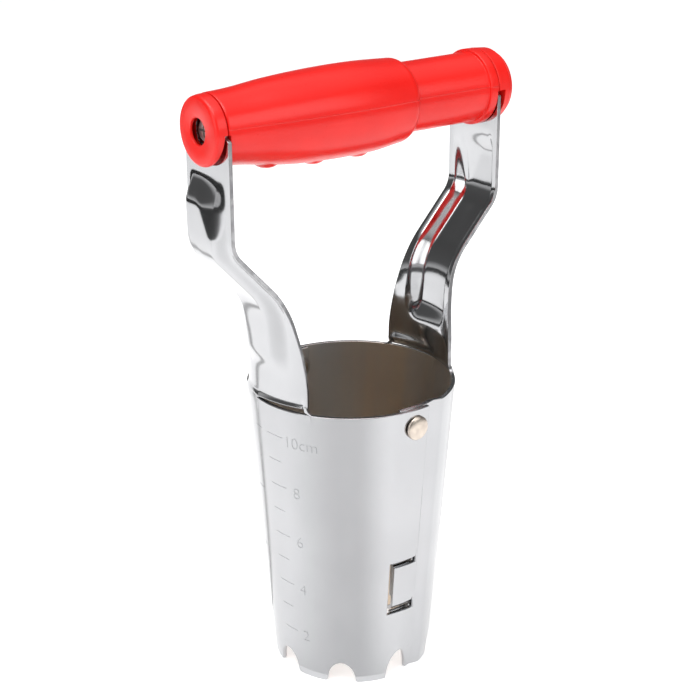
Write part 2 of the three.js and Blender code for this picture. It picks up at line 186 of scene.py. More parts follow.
class Shader(NodeTree):
    """The node tree of one material, with a Principled surface to feed."""

    def __init__(self, name: str) -> None:
        """Starts a material of that name with an empty Principled surface."""
        self.material = bpy.data.materials.new(name)
        super().__init__(self.material)
        self.surface = self.node("ShaderNodeBsdfPrincipled")
        self.node("ShaderNodeOutputMaterial", None, {"Surface": self.surface.outputs[0]})
        self.place = self.node("ShaderNodeTexCoord").outputs["Object"]

    def axis(self, letter: str) -> Signal:
        """One Object coordinate, in metres."""
        parts = self.node("ShaderNodeSeparateXYZ", None, {0: self.place})
        return Signal(self, parts.outputs[letter])

    def noise(self, scale: float, detail: float = 3.0, stretch: tuple = (1, 1, 1)) -> Signal:
        """Soft noise over Object coordinates.

        Args:
            scale: Patches to the metre.
            detail: The noise's detail.
            stretch: How often the pattern repeats along each axis, against scale.

        Returns:
            A number about 0.5.
        """
        mapped = self.node("ShaderNodeMapping", None, {"Vector": self.place, "Scale": stretch})
        inputs = {"Vector": mapped.outputs[0], "Scale": scale, "Detail": detail}
        return Signal(self, self.node("ShaderNodeTexNoise", None, inputs).outputs[0])

    def blend(self, factor: Any, first: tuple, second: tuple) -> Any:
        """A colour between two, by a factor from 0 to 1."""
        mixed = self.node("ShaderNodeMix", {"data_type": "RGBA"}, {0: factor, 6: first, 7: second})
        return mixed.outputs[2]

    def feed(self, **sockets: Any) -> None:
        """Sets sockets of the surface; an underscore in a name stands for a space."""
        for key, value in sockets.items():
            target = self.surface.inputs[key.replace("_", " ")]
            source = value.socket if isinstance(value, Signal) else value
            if isinstance(source, bpy.types.NodeSocket):
                self.tree.links.new(source, target)
            else:
                target.default_value = source

    def relief(self, height: Signal, depth_mm: float) -> None:
        """Bumps the surface by a height from 0 to 1, this many millimetres deep."""
        inputs = {"Height": height, "Distance": depth_mm * MM, "Strength": 1.0}
        self.feed(Normal=self.node("ShaderNodeBump", None, inputs).outputs[0])


def grey(level: float) -> tuple:
    """A neutral colour of that level."""
    return (level, level, level, 1.0)


@dataclass(frozen=True)
class PlatedSteel:
    """Bright plated sheet: faint drawing lines up the cone, a slight orange peel, a few dull patches."""

    name: str
    tint: tuple
    dull_tint: tuple
    roughness: float
    roughness_spread: float
    patch_scale: float = 38.0
    patch_stretch: tuple = (1.0, 1.0, 1.0)
    peel_mm: float = 0.004
    line_mm: float = 0.0012

    def material(self) -> bpy.types.Material:
        """Builds the material."""
        shader = Shader(self.name)
        patches = shader.noise(self.patch_scale, 3.0, self.patch_stretch)
        lines = shader.noise(900.0, 2.0, (1.0, 1.0, 0.03))
        peel = shader.noise(160.0, 1.0)
        spread = patches.step(0.35, 0.7) * self.roughness_spread
        shader.feed(
            Base_Color=shader.blend(patches.step(0.3, 0.75), self.tint, self.dull_tint),
            Metallic=1.0,
            Roughness=self.roughness + spread + (0.5 * self.roughness_spread) * lines,
        )
        shader.relief(peel + lines * (self.line_mm / self.peel_mm), self.peel_mm)
        return shader.material


@dataclass(frozen=True)
class TurnedMetal:
    """Small plated hardware, softly polished, with fine handling marks."""

    name: str
    tint: tuple
    worn_tint: tuple
    roughness: float

    def material(self) -> bpy.types.Material:
        """Builds the material."""
        shader = Shader(self.name)
        patches = shader.noise(420.0, 4.0)
        scratches = shader.noise(2600.0, 2.0, (1.0, 0.15, 1.0))
        shader.feed(
            Base_Color=shader.blend(patches.step(0.3, 0.7), self.tint, self.worn_tint),
            Metallic=1.0,
            Roughness=patches * 0.12 + scratches * 0.06 + self.roughness,
        )
        shader.relief(patches + scratches * 0.4, 0.006)
        return shader.material


@dataclass(frozen=True)
class MouldedPlastic:
    """Glossy moulded plastic with a faint mould texture and, on tubes, a parting line along the side."""

    name: str
    tint: tuple
    deep_tint: tuple
    roughness: float
    parting_z: float | None = None

    def material(self) -> bpy.types.Material:
        """Builds the material."""
        shader = Shader(self.name)
        clouds = shader.noise(55.0, 3.0)
        grain = shader.noise(1500.0, 2.0)
        scuffs = shader.noise(220.0, 4.0, (0.2, 1.0, 1.0)).step(0.56, 0.74)
        height = grain * 0.3 + clouds * 0.7
        if self.parting_z is not None:
            line = 1 - abs(shader.axis("Z") - self.parting_z * MM).step(0.00003, 0.0003)
            height = height + line * 14.0
        shader.feed(
            Base_Color=shader.blend(clouds.step(0.3, 0.7), self.tint, self.deep_tint),
            Roughness=grain * 0.05 + scuffs * 0.1 + self.roughness,
            Coat_Weight=0.1,
            Coat_Roughness=0.12,
            Specular_IOR_Level=0.35,
            Subsurface_Weight=0.04,
            Subsurface_Radius=(0.004, 0.0006, 0.0004),
            Subsurface_Scale=1.0,
        )
        shader.relief(height, 0.012)
        return shader.material


@dataclass(frozen=True)
class StampedMark:
    """The slightly duller metal at the bottom of a stamped line."""

    name: str
    tint: tuple

    def material(self) -> bpy.types.Material:
        """Builds the material."""
        shader = Shader(self.name)
        grain = shader.noise(1800.0, 2.0)
        dull = tuple(0.8 * c for c in self.tint[:3]) + (1.0,)
        shader.feed(
            Base_Color=shader.blend(grain.step(0.3, 0.7), self.tint, dull),
            Metallic=1.0,
            Roughness=grain * 0.15 + 0.35,
        )
        shader.relief(grain, 0.004)
        return shader.material


@dataclass(frozen=True)
class GreyCard:
    """Matt grey gauze, as dense as the sheet's own "gauze_cover" attribute says."""

    level: float

    def material(self) -> bpy.types.Material:
        """Builds the material."""
        shader = Shader("grey_card")
        grain = shader.noise(60.0, 2.0)
        density = shader.node("ShaderNodeAttribute", {"attribute_name": "gauze_cover"}).outputs["Fac"]
        shader.feed(
            Base_Color=shader.blend(grain, grey(self.level), grey(0.95 * self.level)),
            Roughness=0.9,
            Specular_IOR_Level=0.0,
            Alpha=density,
        )
        return shader.material


@dataclass(frozen=True)
class PaleFloor:
    """A seamless pale studio floor."""

    tint: tuple = grey(0.9)

    def material(self) -> bpy.types.Material:
        """Builds the material."""
        shader = Shader("pale_floor")
        grain = shader.noise(30.0, 2.0)
        shader.feed(
            Base_Color=shader.blend(grain.step(0.2, 0.8), self.tint, grey(0.88)),
            Roughness=grain * 0.1 + 0.75,
            Emission_Color=grey(1.0),
            Emission_Strength=0.55,
        )
        return shader.material


# ---- surfaces ----


def smoothstep(value: np.ndarray, low: float, high: float) -> np.ndarray:
    """Three t squared less two t cubed, t running from 0 at low to 1 at high."""
    t = np.clip((value - low) / (high - low), 0.0, 1.0)
    return t * t * (3 - 2 * t)


def grid_quads(rows: int, columns: int, wrap_rows: bool = False, wrap_columns: bool = False) -> np.ndarray:
    """The quads of a grid of points numbered row by row.

    Args:
        rows: How many rows of points.
        columns: How many points in a row.
        wrap_rows: Whether the last row joins the first.
        wrap_columns: Whether the last point of a row joins its first.

    Returns:
        An array of four point numbers for each quad.
    """
    row = np.arange(rows if wrap_rows else rows - 1)[:, None]
    column = np.arange(columns if wrap_columns else columns - 1)[None, :]
    row, column = np.broadcast_arrays(row, column)
    above = (row + 1) % rows
    beside = (column + 1) % columns
    corners = [
        row * columns + column,
        row * columns + beside,
        above * columns + beside,
        above * columns + column,
    ]
    return np.stack(corners, axis=-1).reshape(-1, 4)


def rounded(corners: list, radius: float, count: int = 5) -> np.ndarray:
    """A closed outline with its corners rounded.

    Each corner P gives points (1-t)^2 A + 2t(1-t) P + t^2 B, A and B lying on its two sides at the
    radius from P, or at 0.45 of a shorter side.

    Args:
        corners: The outline's corners in order.
        radius: How far from a corner its rounding starts.
        count: Points on each corner.

    Returns:
        The outline's points, one row each.
    """
    corner = np.array(corners, float)
    before = np.roll(corner, 1, axis=0) - corner
    after = np.roll(corner, -1, axis=0) - corner
    near = np.linalg.norm(before, axis=1, keepdims=True)
    far = np.linalg.norm(after, axis=1, keepdims=True)
    reach = np.minimum(radius, 0.45 * np.minimum(near, far))
    on_axis = corner[:, 1:2] < 1e-6
    reach = np.where(on_axis, 0.0, reach)
    start = corner + before / near * reach
    end = corner + after / far * reach
    t = np.linspace(0, 1, count)[None, :, None]
    curve = (1 - t) ** 2 * start[:, None] + 2 * t * (1 - t) * corner[:, None] + t**2 * end[:, None]
    return curve.reshape(-1, 2)


def lathe(profile: np.ndarray, sides: int) -> tuple[np.ndarray, np.ndarray]:
    """A closed profile turned once about an axis.

    Point (s, r) of the profile goes to (s, r cos a, r sin a) at each angle a.

    Args:
        profile: Rows of [place along the axis, radius].
        sides: How many angles.

    Returns:
        The points as [along, across, up] and the quads.
    """
    angle = np.linspace(0, 2 * np.pi, sides, endpoint=False)[None, :]
    along = np.broadcast_to(profile[:, :1], (len(profile), sides))
    radius = profile[:, 1:2]
    points = np.stack([along, radius * np.cos(angle), radius * np.sin(angle)], axis=-1)
    return points.reshape(-1, 3), grid_quads(len(profile), sides, True, True)


def box(low: tuple, high: tuple) -> tuple[np.ndarray, np.ndarray]:
    """The eight corners and six faces of an upright box."""
    choose = np.array([[i & 1, i >> 1 & 1, i >> 2 & 1] for i in range(8)])
    points = np.where(choose == 1, high, low).astype(float)
    faces = [[0, 2, 3, 1], [4, 5, 7, 6], [0, 1, 5, 4], [2, 6, 7, 3], [0, 4, 6, 2], [1, 3, 7, 5]]
    return points, np.array(faces)


def make(name: str, shape: tuple, finishes: list, face_finish: np.ndarray | None = None,
         closed: bool = True, sharp: float = 38.0) -> bpy.types.Object:
    """Makes an object from points in millimetres about the cone's axis.

    Args:
        name: The object's name.
        shape: Its points and faces.
        finishes: Its materials.
        face_finish: Which of them each face has, if not all the first.
        closed: Whether it is a closed body, whose faces are then turned outwards.
        sharp: Edges that fold by more than this many degrees stay sharp.

    Returns:
        The object, at the origin, with doubles merged.
    """
    points, faces = shape
    places = (points + np.array([CONE_AXIS_X, 0, 0])) * MM
    mesh = bpy.data.meshes.new(name)
    mesh.from_pydata(places.tolist(), [], faces.tolist())
    for finish in finishes:
        mesh.materials.append(finish)
    if face_finish is not None:
        mesh.polygons.foreach_set("material_index", face_finish.astype(np.int32))
    work = bmesh.new()
    work.from_mesh(mesh)
    bmesh.ops.remove_doubles(work, verts=work.verts, dist=1e-6)
    bmesh.ops.dissolve_degenerate(work, edges=work.edges, dist=1e-7)
    if closed:
        bmesh.ops.recalc_face_normals(work, faces=work.faces)
    work.to_mesh(mesh)
    work.free()
    piece = bpy.data.objects.new(name, mesh)
    bpy.context.scene.collection.objects.link(piece)
    soften(piece, sharp)
    return piece


def soften(piece: bpy.types.Object, sharp: float) -> None:
    """Shades a mesh smooth apart from edges that fold by more than an angle in degrees."""
    piece.data.shade_smooth()
    piece.data.set_sharp_from_angle(angle=math.radians(sharp))


def combine(piece: bpy.types.Object, tools: list, operation: str, sharp: float = 38.0) -> None:
    """Cuts or joins bodies into a piece, exactly, and bakes the result into its mesh.

    Args:
        piece: The piece that changes.
        tools: Bodies to cut with or to add; they are used up.
        operation: DIFFERENCE or UNION.
        sharp: As in make().
    """
    for tool in tools:
        modifier = piece.modifiers.new("cut", "BOOLEAN")
        modifier.operation = operation
        modifier.solver = "EXACT"
        modifier.object = tool
    bpy.context.view_layer.update()
    graph = bpy.context.evaluated_depsgraph_get()
    mesh = bpy.data.meshes.new_from_object(piece.evaluated_get(graph))
    piece.modifiers.clear()
    old = piece.data
    piece.data = mesh
    bpy.data.meshes.remove(old)
    for tool in tools:
        spare = tool.data
        bpy.data.objects.remove(tool)
        bpy.data.meshes.remove(spare)
    soften(piece, sharp)


def turn_about_z(points: np.ndarray) -> np.ndarray:
    """A half turn about the cone's axis: x and y change sign."""
    return points * np.array([-1, -1, 1])


def seat(piece: bpy.types.Object, body: Body, slot: Slot, *nodes: str) -> bpy.types.Object:
    """Puts a finished piece on its body in place of the CAD nodes it stands for."""
    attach(piece, body.value)
    if nodes:
        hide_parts(*nodes)
    log.info("%s: %d faces on %s", piece.name, len(piece.data.polygons), body.value)
    return piece


# ---- the pressed halves ----


@dataclass
class PressedHalf:
    """One half of the cone with its carrying arm, drawn with the arm on +X.

    Angles run round the cone from the arm: the outer lap ends at +lap_end, the inner lap, which steps
    in behind the other half, at -lap_end.
    """

    cone_height: float = 110.0
    rim_radius: float = 37.6
    tip_radius: float = 29.1
    lap_gap: float = 0.5
    lap_end: float = 99.0
    joggle: tuple = (67.0, 76.0)
    notch_half_width: float = 5.2
    notch_height: float = 8.3
    tooth_corner: float = 1.1
    lap_notch_height: float = 11.0
    outer_lap_tooth: float = 5.0
    inner_lap_tooth: float = 3.4
    slot_sides: tuple = (-3.9, 5.4, 7.1)
    slot_heights: tuple = (28.2, 33.0, 47.6, 49.7)
    passage_side: float = 4.7
    passage_heights: tuple = (28.2, 34.6)
    lip_drop: float = 3.8
    lip_depth: float = 3.4
    arm_half_width: float = 12.9
    root_half_width: float = 17.6
    root_fillet: float = 1.7
    neck: tuple = (35.95, 112.5)
    neck_radius: float = 36.85
    flat_from: tuple = (130.0, 156.0)
    lower_bend: tuple = (36.2, 148.3, 9.0)
    upper_bend: tuple = (56.5, 170.2, 4.0)
    rib_heights: tuple = (120.0, 127.0, 140.0, 152.0, 170.0, 196.0)
    rib_depths: tuple = (0.0, 2.2, 3.2, 3.4, 3.4, 0.4)
    rib_wall: tuple = (8.2, 11.2)
    rib_slope: tuple = (4.6, 11.4)
    rib_end: tuple = (184.0, 194.0)
    rib_point: tuple = (5.5, 2.2)
    plate_top_radius: float = 10.4
    shoulder: tuple = (206.8, 208.2)
    slit: tuple = (-5.0, 17.0)
    slit_height: float = 1.3
    edge_round: float = 0.3

    def radius(self, z: np.ndarray) -> np.ndarray:
        """The cone's outer radius, growing evenly from the teeth to the rim."""
        return self.tip_radius + (self.rim_radius - self.tip_radius) * z / self.cone_height

    def middle_radius(self, degrees: np.ndarray, z: np.ndarray) -> np.ndarray:
        """The radius of the sheet's middle: half a sheet inside, and stepped in on the inner lap."""
        step = (SHEET + self.lap_gap) * smoothstep(-degrees, *self.joggle)
        return self.radius(z) - SHEET / 2 - step

    def tooth_line(self, degrees: np.ndarray) -> np.ndarray:
        """How high the lower edge stands at each angle.

        In a notch it follows half an ellipse, h sqrt(1 - (c/w)^2) at c across it, and runs out to the
        tooth tip round a small corner. Under a lap it climbs past the last tooth and stays there.

        Args:
            degrees: Angles round the half.

        Returns:
            Heights in millimetres.
        """
        shoulder = 0.2 * self.notch_height
        edge = self.notch_half_width * math.sqrt(1 - 0.2**2)
        t = np.linspace(0, 1, 12)
        corner_x = (1 - t) ** 2 * edge + 2 * t * (1 - t) * edge + t**2 * (edge + self.tooth_corner)
        corner_z = (1 - t) ** 2 * shoulder
        line = np.zeros_like(degrees)
        for middle in (-45.0, 0.0, 45.0):
            across = np.abs(self.tip_radius * np.sin(np.radians(degrees - middle)))
            across = np.where(np.abs(degrees - middle) < 40, across, 99.0)
            inside = self.notch_height * np.sqrt(np.clip(1 - (across / self.notch_half_width) ** 2, 0, 1))
            corner = np.interp(across, corner_x, corner_z, left=shoulder, right=0.0)
            line = np.maximum(line, np.where(across < edge, inside, corner))
        for side, tooth in ((1, self.outer_lap_tooth), (-1, self.inner_lap_tooth)):
            across = self.tip_radius * np.sin(np.radians(90 - side * degrees))
            across = np.where(side * degrees > 60, across, 99.0)
            rise = tooth + self.tooth_corner - across
            climb = self.lap_notch_height * np.sqrt(np.clip(1 - (1 - rise / 6.0) ** 2, 0, 1))
            climb = np.where(rise <= 0, 0.0, np.where(rise > 6.0, self.lap_notch_height, climb))
            line = np.maximum(line, climb)
        return line

    def key_angles(self, z: np.ndarray) -> np.ndarray:
        """Angles that columns of the grid keep to at each height.

        Near a rivet line the columns stand at even distances from it, at 90 degrees less the arc sine
        of the distance over the radius, so that the stop's slots have upright sides.

        Args:
            z: Heights.

        Returns:
            One row of rising angles for each height.
        """
        flat = np.ones_like(z)
        radius = self.radius(z)

        def beside(distance: float) -> np.ndarray:
            """The angle at a distance from the rivet line, towards the arm."""
            return 90 - np.degrees(np.arcsin(distance / radius))

        tongue_right, tongue_left, slot_left = self.slot_sides
        columns = [
            -self.lap_end * flat,
            -beside(self.passage_side),
            -self.joggle[1] * flat,
            -self.joggle[0] * flat,
            -60 * flat,
            60 * flat,
            beside(slot_left),
            beside(tongue_left),
            beside(tongue_right),
            self.lap_end * flat,
        ]
        return np.stack(columns, axis=-1)

    def column_places(self) -> np.ndarray:
        """Where the columns stand, in numbers of key intervals, close together on the notches' sides."""
        around = self.notch_half_width * np.sin(np.radians(np.linspace(-80, 80, 23)))
        corner = self.notch_half_width + np.linspace(0.0, self.tooth_corner, 6)
        across = np.concatenate([-corner[::-1], around, corner])
        notch = np.degrees(np.arcsin(across / self.tip_radius))
        degrees = np.concatenate([notch - 45, notch, notch + 45])
        spread = np.arange(-60, 60.1, 1.5)
        gap = np.min(np.abs(spread[:, None] - degrees[None, :]), axis=1)
        degrees = np.sort(np.concatenate([degrees, spread[gap > 0.9]]))
        middle = 4 + (degrees + 60) / 120
        ends = [np.linspace(0, 1, 24), np.linspace(1, 2, 9), np.linspace(2, 3, 12), np.linspace(3, 4, 5)]
        starts = [np.linspace(5, 6, 24), np.linspace(6, 7, 5), np.linspace(7, 8, 12), np.linspace(8, 9, 6)]
        places = np.concatenate([*ends, middle, *starts])
        return np.unique(np.round(places, 6))

    def angles_at(self, places: np.ndarray, z: np.ndarray) -> np.ndarray:
        """The columns' angles at each height, as a grid of heights by columns."""
        keys = self.key_angles(z)
        interval = np.minimum(places.astype(int), keys.shape[1] - 2)
        part = places - interval
        return keys[:, interval] * (1 - part) + keys[:, interval + 1] * part

    def arm_path(self) -> tuple[np.ndarray, np.ndarray]:
        """The arm seen along Y: straight runs joined by two bends.

        A bend with corner P, run-in A and run-out B is (1-t)^2 A + 2t(1-t) P + t^2 B.

        Returns:
            Points [x, z] up the arm, and the unit direction at each.
        """
        low = np.array(self.lower_bend[:2])
        high = np.array(self.upper_bend[:2])
        slope = (high - low) / np.linalg.norm(high - low)
        up = np.array([0.0, 1.0])
        top = np.array([ARM_X, HANDLE_Z + self.plate_top_radius - 0.02])
        rim = np.array([self.rim_radius - SHEET / 2, self.cone_height])
        lower, upper = self.lower_bend[2], self.upper_bend[2]
        run_in, run_out = low - up * lower, low + slope * lower
        rise_in, rise_out = high - slope * upper, high + up * upper
        t = np.linspace(0, 1, 60)[:, None]

        def bend(start: np.ndarray, corner: np.ndarray, end: np.ndarray) -> np.ndarray:
            """Points round one bend."""
            return (1 - t) ** 2 * start + 2 * t * (1 - t) * corner + t**2 * end

        neck = np.array(self.neck)
        runs = [
            rim + (neck - rim) * t,
            neck + (run_in - neck) * t,
            bend(run_in, low, run_out),
            run_out + (rise_in - run_out) * t,
            bend(rise_in, high, rise_out),
            rise_out + (top - rise_out) * t,
        ]
        line = np.concatenate([run[:-1] for run in runs[:-1]] + [runs[-1]])
        length = np.concatenate([[0], np.cumsum(np.linalg.norm(np.diff(line, axis=0), axis=1))])
        end = length[-1]
        round_top = end - self.plate_top_radius
        fine = round_top + self.plate_top_radius * np.sin(np.linspace(0, np.pi / 2, 24))
        root = np.linspace(0.0, 4.0, 6)
        stations = np.concatenate([root[:-1], np.linspace(4.0, round_top - 2.6, 96), np.linspace(
            round_top - 2.2, round_top, 8), fine[1:]])
        path = np.stack([np.interp(stations, length, line[:, i]) for i in (0, 1)], axis=-1)
        direction = np.gradient(path, stations, axis=0)
        return path, direction / np.linalg.norm(direction, axis=1, keepdims=True)

    def arm_half(self, z: np.ndarray) -> np.ndarray:
        """Half the arm's width at a height: a fillet at the root, straight above, round at the top."""
        taper = self.root_half_width - self.arm_half_width
        width = self.root_half_width - taper * smoothstep(z, 116, 154)
        fillet = np.clip(self.cone_height + self.root_fillet - z, 0, self.root_fillet) / self.root_fillet
        width = width + self.root_fillet * fillet**2
        width = width - (self.arm_half_width - self.plate_top_radius) * smoothstep(z, *self.shoulder)
        top = np.sqrt(np.clip(self.plate_top_radius**2 - (z - HANDLE_Z) ** 2, 0, None))
        return np.where(z > HANDLE_Z, top, width)

    def arm_grid(self, across: np.ndarray) -> np.ndarray:
        """The middle surface of the arm.

        A point moves in level by the cone's roundness at the root, sqrt(R^2 - y^2) - R fading upwards.
        It stands off the path by the rib's depth, which follows its height, steps down across the wall
        on its -Y side and slopes away on its +Y side. Higher up the depth is read lower for points
        further from the rib's middle, so the rib ends in a point.

        Args:
            across: Each column's place across the arm, from -1 to 1.

        Returns:
            Points as a grid of rows up the arm.
        """
        path, direction = self.arm_path()
        x, z = path[:, :1], path[:, 1:]
        y = across[None, :] * self.arm_half(z)
        roundness = np.sqrt(self.neck_radius**2 - y**2) - self.neck_radius
        bulge = roundness * (1 - smoothstep(z, *self.flat_from))
        point, lean = self.rib_point
        level = z - lean * np.abs(y - point) * smoothstep(z, 152, 172)
        shifts = np.array([-2.0, -1.0, 0.0, 1.0, 2.0])[:, None, None]
        depth = np.interp(level[None] + shifts, self.rib_heights, self.rib_depths).mean(axis=0)
        ends = smoothstep(z, 120, 130) * (1 - smoothstep(z, *self.rib_end))
        sides = (1 - smoothstep(-y, *self.rib_wall)) * (1 - smoothstep(y, *self.rib_slope))
        rib = depth * ends * sides
        lean_x, lean_z = direction[:, 1:], -direction[:, :1]
        return np.stack([x + bulge + lean_x * rib, y, z + lean_z * rib], axis=-1)

    def shape(self) -> tuple[np.ndarray, np.ndarray, np.ndarray]:
        """The middle surface of the whole half.

        Returns:
            Its points, its quads, and for each quad 0 on the cone and 2 on the arm.
        """
        places = self.column_places()
        lip_low, tongue_low, tongue_high, slot_high = self.slot_heights
        upper = [14.0, 20.0, 24.0, lip_low, 30.6, tongue_low, self.passage_heights[1], 40.0, tongue_high,
                 slot_high, 58.0, 66.0, 74.0, 82.0, 90.0, 97.0, 103.0, 107.0, self.cone_height]
        z_rows = np.array(upper)
        angles = self.angles_at(places, z_rows)
        foot = self.angles_at(places, np.zeros(1))[0]
        edge = self.tooth_line(foot) + 0.06
        part = np.linspace(0, 1, 7)[:-1, None]
        low_z = edge[None, :] + (z_rows[0] - edge[None, :]) * part
        low_angles = foot[None, :] + (angles[0] - foot)[None, :] * part
        z = np.concatenate([low_z, np.broadcast_to(z_rows[:, None], angles.shape)])
        angles = np.concatenate([low_angles, angles])
        radius = self.middle_radius(angles, z)
        turn = np.radians(angles)
        cone = np.stack([radius * np.cos(turn), radius * np.sin(turn), z], axis=-1)
        rows, columns = z.shape
        quads = grid_quads(rows, columns)
        keep = self.cone_quads_kept(z[:, 0], places, rows, columns)
        lip_points, lip_quads = self.lip(places)

        rim_y = cone[-1, :, 1]
        rim_x = cone[-1, :, 0]
        root = self.root_half_width + self.root_fillet
        on_arm = (np.abs(rim_y) <= root + 0.05) & (rim_x > 0)
        arm = self.arm_grid(rim_y[on_arm] / np.max(np.abs(rim_y[on_arm])))
        arm[0] = cone[-1, on_arm]
        arm = self.open_slit(arm)
        arm_rows, arm_columns = arm.shape[:2]
        arm_quads = grid_quads(arm_rows, arm_columns)
        keep_arm = self.arm_quads_kept(arm)

        points = np.concatenate([cone.reshape(-1, 3), arm.reshape(-1, 3), lip_points])
        first_arm = rows * columns
        faces = np.concatenate([
            quads[keep],
            arm_quads[keep_arm] + first_arm,
            lip_quads + first_arm + arm_rows * arm_columns,
        ])
        part_of = np.concatenate([
            np.zeros(keep.sum()),
            np.full(keep_arm.sum(), 2),
            np.zeros(len(lip_quads)),
        ])
        return points, faces, part_of

    def cone_quads_kept(self, z: np.ndarray, places: np.ndarray, rows: int, columns: int) -> np.ndarray:
        """Which of the cone's quads are left once the stop's slots and passage are cut out."""
        middle_z = np.repeat((z[:-1] + z[1:]) / 2, columns - 1)
        middle_place = np.tile((places[:-1] + places[1:]) / 2, rows - 1)
        lip_low, tongue_low, tongue_high, slot_high = self.slot_heights
        height = (middle_z > lip_low) & (middle_z < slot_high)
        side = height & (middle_place > 6) & (middle_place < 7)
        ends = height & ((middle_z < tongue_low) | (middle_z > tongue_high))
        ends = ends & (middle_place > 6) & (middle_place < 8)
        low, high = self.passage_heights
        passage = (middle_z > low) & (middle_z < high) & (middle_place < 1)
        return ~(side | ends | passage)

    def arm_quads_kept(self, arm: np.ndarray) -> np.ndarray:
        """Which of the arm's quads are left once the pivot hole at the top is cut out."""
        middle = (arm[:-1, :-1] + arm[1:, 1:]) / 2
        distance = np.hypot(middle[..., 1], middle[..., 2] - HANDLE_Z)
        return (distance > 5.9).reshape(-1)

    def open_slit(self, arm: np.ndarray) -> np.ndarray:
        """Lifts the arm's lowest row off the rim along the crescent slit, and sets it back a little.

        The gap grows from the slit's point as the square root of the way along it.

        Args:
            arm: The arm's grid.

        Returns:
            The grid with its first rows moved.
        """
        start, end = self.slit
        along = np.clip((arm[0, :, 1] - start) / (end - start), 0, 1)
        gap = self.slit_height * np.sqrt(along) * (1 - smoothstep(arm[0, :, 1], end, end + 1.2))
        fade = 1 - smoothstep(arm[:, :1, 2], self.cone_height + 1.0, self.cone_height + 7.0)
        lifted = arm.copy()
        rise = np.clip(1 - (arm[..., 2] - self.cone_height) / 5.0, 0, 1)
        lifted[..., 2] += gap[None, :] * rise
        lifted[..., 0] -= 0.75 * gap[None, :] * fade
        return lifted

    def lip(self, places: np.ndarray) -> tuple[np.ndarray, np.ndarray]:
        """The tongue's lower lip, bent inwards ever more steeply: lip_depth (s/length)^2.2, going down.

        Args:
            places: The grid's columns.

        Returns:
            The lip's points and quads.
        """
        columns = places[(places > 6.999) & (places < 8.001)]
        down = np.linspace(0, 1, 9)
        z = self.slot_heights[1] - self.lip_drop * down
        angles = self.angles_at(columns, np.full(1, self.slot_heights[1]))
        angles = np.broadcast_to(angles, (len(down), len(columns)))
        inward = self.lip_depth * down**2.2
        tongue = np.full_like(z, self.slot_heights[1])[:, None]
        radius = self.middle_radius(angles, tongue) - inward[:, None]
        turn = np.radians(angles)
        height = np.broadcast_to(z[:, None], angles.shape)
        points = np.stack([radius * np.cos(turn), radius * np.sin(turn), height], axis=-1)
        return points.reshape(-1, 3), grid_quads(*angles.shape)[:, ::-1]

    def build(self, name: str, turned: bool, finishes: list) -> bpy.types.Object:
        """Makes the half as sheet metal with softly rounded edges.

        Args:
            name: The object's name.
            turned: Whether the arm is on -X.
            finishes: The outside and inside of the cone, then of the arm, and the same for their edges.

        Returns:
            The object.
        """
        points, faces, part_of = self.shape()
        if turned:
            points = turn_about_z(points)
        piece = make(name, (points, faces), finishes, part_of, closed=False, sharp=60.0)
        wall = piece.modifiers.new("sheet", "SOLIDIFY")
        wall.thickness = SHEET * MM
        wall.offset = 0.0
        wall.material_offset = 1
        wall.material_offset_rim = 4
        edge = piece.modifiers.new("edge", "BEVEL")
        edge.width = self.edge_round * MM
        edge.segments = 2
        edge.limit_method = "ANGLE"
        edge.angle_limit = math.radians(50)
        edge.use_clamp_overlap = False
        edge.harden_normals = True
        return piece


# ---- the depth scale ----


